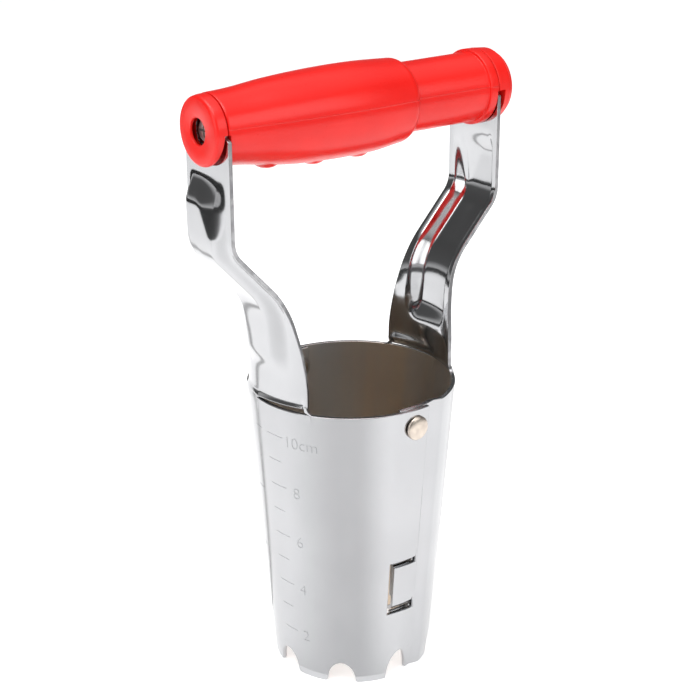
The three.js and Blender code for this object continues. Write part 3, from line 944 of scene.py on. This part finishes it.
@dataclass
class DepthScale:
    """Stamped marks up the left side of the cone: centimetres with numbers, and plain inch marks."""

    half: PressedHalf
    stroke: float = 0.28
    proud: float = 0.03
    first_angle: float = 180.0
    centimetre_drop: float = 1.4
    digit_height: float = 4.4

    def wrap(self, flat: np.ndarray) -> np.ndarray:
        """Lays flat drawing points on the cone.

        Point (a, z, out) goes to the angle first_angle + a degrees, at radius + out.

        Args:
            flat: Rows of [degrees round from the arm, height, distance out].

        Returns:
            Points about the cone's axis.
        """
        turn = np.radians(self.first_angle + flat[:, 0])
        radius = self.half.radius(flat[:, 1]) + flat[:, 2]
        return np.stack([radius * np.cos(turn), radius * np.sin(turn), flat[:, 1]], axis=-1)

    def tick(self, start: float, end: float, z: float) -> tuple[np.ndarray, np.ndarray]:
        """A level line between two angles: a strip of quads one stroke high."""
        steps = 9
        degrees = np.repeat(np.linspace(start, end, steps), 2)
        height = np.tile([z - self.stroke / 2, z + self.stroke / 2], steps)
        flat = np.stack([degrees, height, np.full_like(degrees, self.proud)], axis=-1)
        return self.wrap(flat), grid_quads(steps, 2)[:, ::-1]

    def number(self, text: str, middle: float, z: float) -> tuple[np.ndarray, list]:
        """Plain figures centred at an angle and a height, laid on the cone."""
        curve = bpy.data.curves.new("figure", "FONT")
        curve.body = text
        curve.align_x = "CENTER"
        curve.size = 1.0
        curve.offset = -0.018
        holder = bpy.data.objects.new("figure", curve)
        mesh = bpy.data.meshes.new_from_object(holder)
        bpy.data.objects.remove(holder)
        flat = np.empty(len(mesh.vertices) * 3)
        mesh.vertices.foreach_get("co", flat)
        flat = flat.reshape(-1, 3)
        faces = [list(face.vertices) for face in mesh.polygons]
        bpy.data.meshes.remove(mesh)
        scale = self.digit_height / 0.7
        degrees = np.degrees(flat[:, 0] * scale / self.half.radius(np.array(z))) + middle
        height = z - self.digit_height / 2 + flat[:, 1] * scale
        return self.wrap(np.stack([degrees, height, np.full_like(height, self.proud)], axis=-1)), faces

    def build(self, finish: bpy.types.Material) -> bpy.types.Object:
        """Makes all the marks as one thin piece."""
        parts = []
        for centimetre in range(2, 11):
            z = 10.0 * centimetre - self.centimetre_drop
            length = 12.6 if centimetre % 2 == 0 else 10.0
            parts.append(self.tick(-0.6, -0.6 + length, z))
            if centimetre % 2 == 0:
                label = "10cm" if centimetre == 10 else str(centimetre)
                middle = 24.0 if centimetre == 10 else 19.5
                parts.append(self.number(label, middle, z - 0.8))
        for inch in range(1, 5):
            z = 25.4 * inch - 3.0
            middle = -9.4 - 6.3 * (4 - inch)
            parts.append(self.tick(middle - 3.2, middle + 3.2, z))
        points = np.concatenate([part[0] for part in parts])
        faces = []
        start = 0
        for places, quads in parts:
            faces.extend([[int(corner) + start for corner in face] for face in quads])
            start += len(places)
        mesh = bpy.data.meshes.new("depth_scale")
        mesh.from_pydata(((points + np.array([CONE_AXIS_X, 0, 0])) * MM).tolist(), [], faces)
        mesh.materials.append(finish)
        piece = bpy.data.objects.new("depth_scale", mesh)
        bpy.context.scene.collection.objects.link(piece)
        return piece


# ---- rivets ----


@dataclass
class Rivet:
    """A domed rivet through both laps, its tail set on a washer inside, drawn for the back (+Y)."""

    seat: float = 37.476
    head_radius: float = 4.35
    head_height: float = 1.598
    rim_height: float = 0.45
    shank_radius: float = 2.4
    tail_radius: float = 3.4
    tail_inner: float = 30.77
    tail_outer: float = 31.87
    washer_radius: float = 4.9
    washer_hole: float = 2.7
    washer_inner: float = 32.076
    washer_outer: float = 32.876

    def place(self, shape: tuple, front: bool) -> tuple:
        """Stands turned points on the rivet line: their axis goes to Y, at the rivets' height."""
        points, faces = shape
        stood = np.stack([points[:, 1], points[:, 0], points[:, 2] + PIVOT_Z], axis=-1)
        return (turn_about_z(stood) if front else stood), faces

    def head(self) -> np.ndarray:
        """The rivet's profile: a shallow dome, sin a high and cos a wide, over a short rim."""
        angle = np.linspace(0, np.pi / 2, 16)
        rise = self.head_height - self.rim_height
        dome = np.stack([
            self.seat + self.rim_height + rise * np.sin(angle),
            self.head_radius * np.cos(angle) ** 0.8,
        ], axis=-1)
        stem = [
            [self.tail_inner, 0.0],
            [self.tail_inner, self.tail_radius - 0.7],
            [self.tail_inner + 0.25, self.tail_radius - 0.2],
            [self.tail_inner + 0.6, self.tail_radius],
            [self.tail_outer, self.tail_radius],
            [self.tail_outer, self.shank_radius],
            [self.seat, self.shank_radius],
            [self.seat, self.head_radius - 0.15],
            [self.seat + 0.15, self.head_radius],
        ]
        dome[-1, 1] = 0.0
        return np.concatenate([stem, dome])

    def build(self, side: str, metal: bpy.types.Material, zinc: bpy.types.Material) -> None:
        """Makes and seats the rivet and its washer on one side, front or back."""
        front = side == "front"
        body = make(f"{side}_rivet_turned", self.place(lathe(self.head(), 64), front), [metal])
        seat(body, Body.LEFT_HALF, Slot.RIVET_METAL, f"{side}_rivet")
        ring = rounded([
            [self.washer_inner, self.washer_hole],
            [self.washer_inner, self.washer_radius],
            [self.washer_outer, self.washer_radius],
            [self.washer_outer, self.washer_hole],
        ], 0.15, 3)
        washer = make(f"{side}_washer_turned", self.place(lathe(ring, 48), front), [zinc])
        seat(washer, Body.LEFT_HALF, Slot.ZINC_STEEL, f"{side}_rivet_washer")


# ---- the handle ----


@dataclass
class Handle:
    """The telescopic handle: outer grip and left cap, inner sleeve and right cap, screws and spring.

    Ends are drawn for the right and turned for the left, as the two ends are alike.
    """

    sides: int = 144
    grip_start: float = -55.9
    grip_end: float = 19.9
    belly_x: tuple = (-55.9, -48.0, -34.0, -14.0, 4.0, 17.2)
    belly_radius: tuple = (11.9, 12.3, 13.7, 14.8, 14.91, 14.3)
    belly_drop: float = 1.5
    wide_bore: float = 12.5
    wide_bore_end: float = -13.2
    narrow_bore: float = 10.0
    spring_seat: float = 48.0
    bumps: tuple = ((-34.8, 13.0), (-16.2, 14.6), (2.2, 14.9))
    bump_size: tuple = (4.4, 5.0, 2.6)
    sleeve_radius: float = 12.1
    sleeve_flare: float = 12.3
    sleeve_shoulder: float = 14.0
    tail_radius: float = 9.6
    tail_bore: float = 8.2
    tail_end: float = -20.0
    flange_radius: float = 13.4
    flange_start: float = 52.2
    tube_end: float = 55.9
    cap_start: float = 56.2
    pocket_radius: float = 10.9
    pocket_depth: float = 54.1
    upper_face: float = 57.6
    lower_face: float = 59.0
    lower_end: float = 55.3
    boss_radius: float = 5.2
    boss_end: float = 53.9
    counterbore: float = 4.4
    counterbore_floor: float = 55.9
    screw_hole: float = 2.3
    screw_head: float = 3.9
    coil_radius: float = 6.3
    wire_radius: float = 0.75
    turns: int = 15

    def lift(self, shape: tuple, left: bool = False) -> tuple:
        """Raises turned points to the handle's axis, and turns them to the left end if asked."""
        points, faces = shape
        raised = points + np.array([0, 0, HANDLE_Z])
        return (turn_about_z(raised) if left else raised), faces

    def bar(self, low: float, high: float, radius: float, left: bool) -> bpy.types.Object:
        """A plain round cutter on the handle's axis."""
        profile = np.array([[low, 0], [low, radius], [high, radius], [high, 0]], float)
        return make("cutter", self.lift(lathe(profile, 96), left), [])

    def block(self, low: float, high: float, top: float, left: bool,
              widen: float = 0.0) -> bpy.types.Object:
        """A cutter for everything below a height, between two places along the handle.

        Args:
            low: Its inner face.
            high: Its outer face, at the top.
            top: Its upper face.
            left: Whether it is for the left end.
            widen: How far out the outer face leans over its 40 mm of depth.

        Returns:
            The cutter.
        """
        points, faces = box((low, -40, HANDLE_Z - 40), (high, 40, top))
        points[:, 0] += widen * ((points[:, 0] > low) & (points[:, 2] < top))
        return make("cutter", ((turn_about_z(points) if left else points), faces), [])

    def pocket(self, low: float, high: float, left: bool) -> bpy.types.Object:
        """A cutter for the upper half of the pocket in which an arm's round end rocks."""
        whole = self.bar(low, high, self.pocket_radius, left)
        combine(whole, [self.block(low - 1, high + 1, HANDLE_Z + 0.3, left)], "DIFFERENCE")
        return whole

    def recess_end(self, tube: bpy.types.Object, left: bool) -> None:
        """Cuts the pocket, the arm's slot and the boss's recess into a tube's end."""
        end = self.tube_end + 1
        combine(tube, [
            self.pocket(self.pocket_depth, end, left),
            self.block(self.lower_end, end, HANDLE_Z + 0.3, left),
            self.bar(self.boss_end - 0.3, end, self.boss_radius + 0.3, left),
            self.bar(self.spring_seat - 4, self.boss_end, self.screw_hole, left),
        ], "DIFFERENCE", 32.0)

    def belly(self, x: np.ndarray) -> np.ndarray:
        """The grip's radius along it: a cubic through each pair of knots, with even slopes between."""
        knots, values = np.array(self.belly_x), np.array(self.belly_radius)
        slopes = np.gradient(values, knots)
        i = np.clip(np.searchsorted(knots, x) - 1, 0, len(knots) - 2)
        width = knots[i + 1] - knots[i]
        t = (x - knots[i]) / width
        return (
            (2 * t**3 - 3 * t**2 + 1) * values[i]
            + (t**3 - 2 * t**2 + t) * width * slopes[i]
            + (3 * t**2 - 2 * t**3) * values[i + 1]
            + (t**3 - t**2) * width * slopes[i + 1]
        )

    def outer_grip(self, plastic: bpy.types.Material) -> bpy.types.Object:
        """The grip: a turned belly, fuller below, with three finger bumps pressed out of its underside.

        A point below the axis drops by belly_drop times its depth, fading at the ends. Under a bump
        the surface follows the ellipsoid where that is lower.

        Args:
            plastic: Its finish.

        Returns:
            The object.
        """
        x = np.linspace(self.grip_start + 0.5, self.belly_x[-1], 190)
        outside = np.stack([x, self.belly(x)], axis=-1)
        start = [
            [self.grip_start, self.belly_radius[0] - 0.5],
            [self.grip_start + 0.1, self.belly_radius[0] - 0.15],
        ]
        turn = np.linspace(0.1, np.pi / 2, 8)
        end = np.stack([self.belly_x[-1] + 2.7 * np.sin(turn), 12.9 + 1.4 * np.cos(turn)], axis=-1)
        bore = [
            [self.grip_end, self.wide_bore + 0.1],
            [self.grip_end - 0.15, self.wide_bore],
            [self.wide_bore_end, self.wide_bore],
            [self.wide_bore_end, self.narrow_bore],
            [-self.spring_seat, self.narrow_bore],
            [-self.spring_seat, 0.0],
            [self.grip_start, 0.0],
        ]
        profile = np.concatenate([start, outside, end, bore])
        points, faces = lathe(profile, 240)
        across, up = points[:, 1], points[:, 2]
        outer = np.repeat(np.arange(len(profile)) < len(start) + len(outside) + len(end), 240)
        below = np.maximum(0, -up) / 15
        swell = smoothstep(points[:, 0], self.grip_start, -20)
        swell = swell * (1 - 0.5 * smoothstep(points[:, 0], 6, self.grip_end))
        up = up - np.where(outer, self.belly_drop * below * swell, 0.0)
        for middle, drop in self.bumps:
            length, width, height = self.bump_size
            inside = 1 - ((points[:, 0] - middle) / length) ** 2 - (across / width) ** 2
            ball = -drop - height * np.sqrt(np.clip(inside, 0, 1))
            up = np.where(outer & (inside > 0) & (up < 0), np.minimum(up, ball), up)
        shaped = np.stack([points[:, 0], across, up], axis=-1)
        grip = make("outer_grip_moulded", self.lift((shaped, faces)), [plastic], sharp=32.0)
        self.recess_end(grip, True)
        return grip

    def inner_sleeve(self, plastic: bpy.types.Material) -> bpy.types.Object:
        """The sleeve: a thin tail inside the grip, the bright tube that shows, and the end flange."""
        profile = rounded([
            [self.tail_end, self.tail_bore],
            [self.tail_end, self.tail_radius],
            [self.sleeve_shoulder - 1, self.tail_radius],
            [self.sleeve_shoulder, self.sleeve_radius],
            [self.flange_start, self.sleeve_flare],
            [self.flange_start, self.flange_radius],
            [self.tube_end, self.flange_radius],
            [self.tube_end, 0.0],
            [self.spring_seat, 0.0],
            [self.spring_seat, self.tail_bore],
        ], 0.45, 6)
        sleeve = make("inner_sleeve_moulded", self.lift(lathe(profile, self.sides)), [plastic], sharp=32.0)
        self.recess_end(sleeve, False)
        return sleeve

    def end_cap(self, name: str, face: float, face_radius: float, seam_radius: float, left: bool,
                plastic: bpy.types.Material) -> bpy.types.Object:
        """An end cap: a rounded button with a deep screw recess, split below for the arm.

        Args:
            name: The object's name.
            face: How far out its face stands.
            face_radius: Its radius there.
            seam_radius: Its radius where it meets the tube.
            left: Whether it is the left cap.
            plastic: Its finish.

        Returns:
            The object.
        """
        turn = np.linspace(0, np.pi / 2, 10)
        corner = np.stack([
            face - 1.3 + 1.3 * np.sin(turn),
            face_radius - 1.0 + 1.35 * np.cos(turn),
        ], axis=-1)
        profile = np.concatenate([
            [
                [self.cap_start, self.counterbore],
                [self.cap_start, seam_radius - 0.25],
                [self.cap_start + 0.2, seam_radius],
                [face - 2.6, (face_radius + 2 * seam_radius) / 3 + 0.2],
            ],
            corner,
            [
                [face, self.counterbore + 0.45],
                [face - 0.12, self.counterbore + 0.15],
                [face - 0.45, self.counterbore],
            ],
        ])
        cap = make(name, self.lift(lathe(profile, self.sides), left), [plastic], sharp=32.0)
        outer, widen = (57.45, 5.0) if left else (self.lower_face, 0.0)
        combine(cap, [
            self.pocket(self.cap_start - 1, self.upper_face, left),
            self.block(self.cap_start - 1, outer, HANDLE_Z + 0.3, left, widen),
        ], "DIFFERENCE", 32.0)
        floor, end = self.counterbore_floor, self.lower_face + 0.5
        ring = np.array([
            [self.boss_end, self.screw_hole],
            [self.boss_end, self.boss_radius],
            [end, self.boss_radius],
            [end, self.counterbore - 0.02],
            [floor, self.counterbore - 0.02],
            [floor, self.screw_hole],
        ])
        boss = make("boss", self.lift(lathe(ring, 96), left), [plastic])
        combine(cap, [boss], "UNION", 32.0)
        return cap

    def cap_screw(self, name: str, left: bool, zinc: bpy.types.Material) -> bpy.types.Object:
        """A pan-head screw with a cross recess."""
        base = self.counterbore_floor + 0.3
        top = base + 1.7
        angle = np.linspace(0, np.pi / 2, 8)
        crown = np.stack([
            top - 0.9 + 0.9 * np.sin(angle),
            self.screw_head - 1.1 + 1.1 * np.cos(angle),
        ], axis=-1)
        profile = np.concatenate([
            [
                [46.5, 0.0],
                [48.5, 2.0],
                [base, 2.0],
                [base, self.screw_head - 0.1],
                [base + 0.1, self.screw_head],
            ],
            crown,
            [[top, 0.0]],
        ])
        screw = make(name, self.lift(lathe(profile, 64), left), [zinc])
        cutters = []
        for across, up in ((0.45, 2.2), (2.2, 0.45)):
            points, faces = box((top - 1.0, -across, HANDLE_Z - up), (top + 1, across, HANDLE_Z + up))
            cutters.append(make("cutter", ((turn_about_z(points) if left else points), faces), []))
        combine(screw, cutters, "DIFFERENCE")
        return screw

    def return_spring(self, steel: bpy.types.Material) -> bpy.types.Object:
        """The spring: a ring of the wire's radius carried along a helix, closed at both ends.

        The helix is (x, R cos a, R sin a) with a growing evenly along x; the ring stands square to it.

        Args:
            steel: Its finish.

        Returns:
            The object.
        """
        steps = self.turns * 36 + 1
        half = self.spring_seat - 0.3 - self.wire_radius
        angle = np.linspace(0, 2 * np.pi * self.turns, steps)[:, None]
        x = np.linspace(-half, half, steps)[:, None]
        thick = np.full((steps, 1), self.wire_radius)
        thick[[0, -1]] = 0.0
        around = np.linspace(0, 2 * np.pi, 12, endpoint=False)[None, :]
        out = thick * np.cos(around)
        side = thick * np.sin(around)
        points = np.stack([
            x + side,
            (self.coil_radius + out) * np.cos(angle),
            (self.coil_radius + out) * np.sin(angle),
        ], axis=-1)
        shape = points.reshape(-1, 3), grid_quads(steps, 12, False, True)
        return make("return_spring_wound", self.lift(shape), [steel])

    def build(self, plastics: dict, zinc: bpy.types.Material, steel: bpy.types.Material) -> None:
        """Makes the handle's pieces and seats them.

        Args:
            plastics: Plastic finishes by piece: tube and cap.
            zinc: The screws' finish.
            steel: The spring's finish.
        """
        tube, cap = plastics["tube"], plastics["cap"]
        seat(self.outer_grip(tube), Body.GRIP, Slot.RED_PLASTIC, "outer_grip")
        seat(self.inner_sleeve(tube), Body.SLEEVE, Slot.RED_PLASTIC, "inner_sleeve")
        left_cap = self.end_cap("left_cap_moulded", 60.4, 11.1, 11.7, True, cap)
        seat(left_cap, Body.GRIP, Slot.RED_PLASTIC, "left_end_cap")
        right_cap = self.end_cap("right_cap_moulded", 64.0, 11.6, self.flange_radius, False, cap)
        seat(right_cap, Body.SLEEVE, Slot.RED_PLASTIC, "right_end_cap")
        left_screw = self.cap_screw("left_screw_turned", True, zinc)
        seat(left_screw, Body.GRIP, Slot.ZINC_STEEL, "left_cap_screw")
        right_screw = self.cap_screw("right_screw_turned", False, zinc)
        seat(right_screw, Body.SLEEVE, Slot.ZINC_STEEL, "right_cap_screw")
        spring = seat(self.return_spring(steel), Body.GRIP, Slot.SPRING_STEEL, "return_spring")
        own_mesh(spring)


# ---- studio ----


@dataclass
class Studio:
    """The pale floor, the soft lights, the grey gauzes and the camera."""

    azimuth: float = -37.13
    elevation: float = 21.28
    roll: float = -0.26
    distance: float = 547.4
    aim_side: float = -0.31
    aim_height: float = 120.4
    lens: float = 78.58
    room_levels: tuple = ((0.0, 0.85), (0.12, 0.16), (0.62, 0.12), (0.8, 1.0))
    room_strength: float = 0.8

    def directions(self) -> tuple[np.ndarray, np.ndarray, np.ndarray]:
        """The camera's right, up and backward directions."""
        az, el, roll = (math.radians(v) for v in (self.azimuth, self.elevation, self.roll))
        back = np.array([math.sin(az) * math.cos(el), -math.cos(az) * math.cos(el), math.sin(el)])
        right = np.array([math.cos(az), math.sin(az), 0.0])
        up = np.cross(back, right)
        turned_right = math.cos(roll) * right + math.sin(roll) * up
        turned_up = -math.sin(roll) * right + math.cos(roll) * up
        return turned_right, turned_up, back

    def add_camera(self) -> None:
        """Stands the camera where it sees the planter from the front left, a little above."""
        right, up, back = self.directions()
        az = math.radians(self.azimuth)
        aim = np.array([
            self.aim_side * math.cos(az) + CONE_AXIS_X,
            self.aim_side * math.sin(az),
            self.aim_height,
        ])
        place = (aim + self.distance * back) * MM
        lens = bpy.data.cameras.new("camera")
        lens.lens = self.lens
        lens.sensor_width = 36.0
        lens.clip_start = 0.01
        camera = bpy.data.objects.new("camera", lens)
        turn = Matrix(np.stack([right, up, back], axis=1).tolist()).to_4x4()
        camera.matrix_world = Matrix.Translation(Vector(place)) @ turn
        bpy.context.scene.collection.objects.link(camera)
        bpy.context.scene.camera = camera

    def add_light(self, name: str, place: tuple, aim: tuple, size: tuple, watts: float) -> None:
        """Hangs one soft rectangular light.

        Args:
            name: The light's name.
            place: Where it hangs, in metres.
            aim: What it points at.
            size: Its width and height in metres.
            watts: Its power.
        """
        data = bpy.data.lights.new(name, "AREA")
        data.shape = "RECTANGLE"
        data.size, data.size_y = size
        data.energy = watts
        light = bpy.data.objects.new(name, data)
        light.location = place
        light.rotation_euler = (Vector(place) - Vector(aim)).to_track_quat("Z", "Y").to_euler()
        bpy.context.scene.collection.objects.link(light)

    def add_sheet(self, name: str, corners: list, faces: list, finish: bpy.types.Material,
                  seen: bool) -> bpy.types.Object:
        """Adds a flat sheet of studio gear.

        Args:
            name: The object's name.
            corners: Its points in metres.
            faces: Its faces.
            finish: Its material.
            seen: Whether the camera sees it; a gauze shows only in reflections.

        Returns:
            The sheet.
        """
        mesh = bpy.data.meshes.new(name)
        mesh.from_pydata(corners, [], faces)
        mesh.materials.append(finish)
        sheet = bpy.data.objects.new(name, mesh)
        bpy.context.scene.collection.objects.link(sheet)
        sheet.visible_camera = seen
        sheet.visible_shadow = seen
        sheet.visible_diffuse = seen
        return sheet

    def add_gauze(self, name: str, edges: tuple, reach: tuple, level: float, density: float) -> None:
        """Lays grey gauze on the floor, seen only in the plating, as a sector of a ring.

        Point (a, r) lies at angle a from the camera's side, r from the cone's axis. The density climbs
        smoothly over the first pair of edges and falls over the last pair.

        Args:
            name: The gauze's name.
            edges: Four rising angles in degrees round from the camera.
            reach: Its inner and outer radius in metres.
            level: How light it is.
            density: Its density in the middle.
        """
        steps = 97
        angle = np.linspace(edges[0], edges[3], steps)
        turn = np.radians(angle + self.azimuth - 90.0)[:, None]
        radius = np.array(reach)[None, :]
        points = np.stack([
            radius * np.cos(turn) + CONE_AXIS_X * MM,
            radius * np.sin(turn),
            np.full((steps, 2), 0.001),
        ], axis=-1).reshape(-1, 3)
        faces = grid_quads(steps, 2).tolist()
        sheet = self.add_sheet(name, points.tolist(), faces, GreyCard(level).material(), False)
        fade = smoothstep(angle, edges[0], edges[1]) * (1 - smoothstep(angle, edges[2], edges[3]))
        values = sheet.data.attributes.new("gauze_cover", "FLOAT", "POINT")
        values.data.foreach_set("value", np.repeat(density * fade, 2).astype(np.float32))

    def add_world(self) -> None:
        """A bright room with a darker band above the horizon, as the plating shows it."""
        world = bpy.data.worlds.new("room")
        bpy.context.scene.world = world
        room = NodeTree(world)
        place = room.node("ShaderNodeTexCoord").outputs["Generated"]
        height = room.node("ShaderNodeSeparateXYZ", None, {0: place}).outputs["Z"]
        stops = [(z, grey(level)) for z, level in self.room_levels]
        ramp = room.node("ShaderNodeValToRGB", {"stops": stops}, {0: height}).outputs[0]
        light = room.node("ShaderNodeBackground", None, {0: ramp, 1: self.room_strength}).outputs[0]
        room.node("ShaderNodeOutputWorld", None, {0: light})

    def build(self) -> None:
        """Sets up the whole studio."""
        bpy.context.scene.view_settings.view_transform = "Standard"
        reach = 4.0
        floor = [(-reach, -reach, 0), (reach, -reach, 0), (reach, reach, 0), (-reach, reach, 0)]
        self.add_sheet("floor", floor, [(0, 1, 2, 3)], PaleFloor().material(), True)
        self.add_gauze("front_gauze", (-85.0, -10.0, 4.0, 45.0), (0.031, 0.7), 0.3, 0.40)
        self.add_gauze("left_gauze", (-129.0, -124.5, -121.5, -117.0), (0.031, 0.5), 0.1, 0.6)
        self.add_gauze("right_gauze", (140.0, 149.0, 154.0, 162.0), (0.031, 0.5), 0.1, 0.25)
        self.add_gauze("far_ring", (-181.0, -180.0, 179.0, 180.0), (0.9, 3.9), 0.06, 1.0)
        self.add_world()
        self.add_light("top_box", (-0.25, -0.1, 1.3), (0, 0, 0.1), (1.1, 0.9), 11.5)
        self.add_light("left_box", (-1.3, -0.3, 0.7), (0, 0, 0.12), (0.9, 1.0), 6.0)
        self.add_light("front_box", (0.5, -1.4, 0.9), (0, 0, 0.12), (1.0, 0.8), 6.0)
        self.add_camera()
        log.info("studio ready")


def main() -> None:
    """Builds the planter piece by piece, then the studio, and logs each piece's face count."""
    logging.basicConfig(level=logging.INFO, format="%(name)s: %(message)s")
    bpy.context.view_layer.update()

    outside = PlatedSteel("plating_cone", (0.475, 0.478, 0.49, 1), (0.45, 0.453, 0.465, 1), 0.14, 0.05)
    inside = PlatedSteel("plating_inside", (0.76, 0.62, 0.47, 1), (0.54, 0.55, 0.55, 1), 0.32, 0.08,
                         34.0, (1.0, 1.0, 0.12))
    arm = PlatedSteel("plating_arm", (0.51, 0.513, 0.525, 1), (0.48, 0.483, 0.495, 1), 0.08, 0.04)
    edge = PlatedSteel("cut_edge", (0.42, 0.42, 0.43, 1), (0.26, 0.26, 0.27, 1), 0.26, 0.12, 300.0)
    nickel = TurnedMetal("rivet_nickel", (0.66, 0.58, 0.50, 1), (0.55, 0.48, 0.42, 1), 0.24).material()
    zinc = TurnedMetal("bright_zinc", (0.62, 0.62, 0.60, 1), (0.48, 0.48, 0.47, 1), 0.28).material()
    steel = TurnedMetal("spring_wire", (0.36, 0.37, 0.39, 1), (0.26, 0.26, 0.27, 1), 0.34).material()
    red = (0.80, 0.012, 0.008, 1)
    deep_red = (0.74, 0.010, 0.007, 1)
    plastics = {
        "tube": MouldedPlastic("red_tube", red, deep_red, 0.26, 210.5).material(),
        "cap": MouldedPlastic("red_cap", red, deep_red, 0.30).material(),
    }

    outside, inside, arm, edge = (finish.material() for finish in (outside, inside, arm, edge))
    plating = [outside, inside, arm, arm, outside, outside, edge]
    half = PressedHalf()
    left = half.build("left_half_pressed", True, plating)
    seat(left, Body.LEFT_HALF, Slot.PLATED_STEEL, "left_cone_half")
    right = half.build("right_half_pressed", False, plating)
    seat(right, Body.RIGHT_HALF, Slot.PLATED_STEEL, "right_cone_half")
    marks = DepthScale(half).build(StampedMark("stamped_mark", (0.42, 0.43, 0.44, 1)).material())
    seat(marks, Body.LEFT_HALF, Slot.PLATED_STEEL)
    for side in ("front", "back"):
        Rivet().build(side, nickel, zinc)
    Handle().build(plastics, zinc, steel)
    Studio().build()


if __name__ == "__main__":
    main()
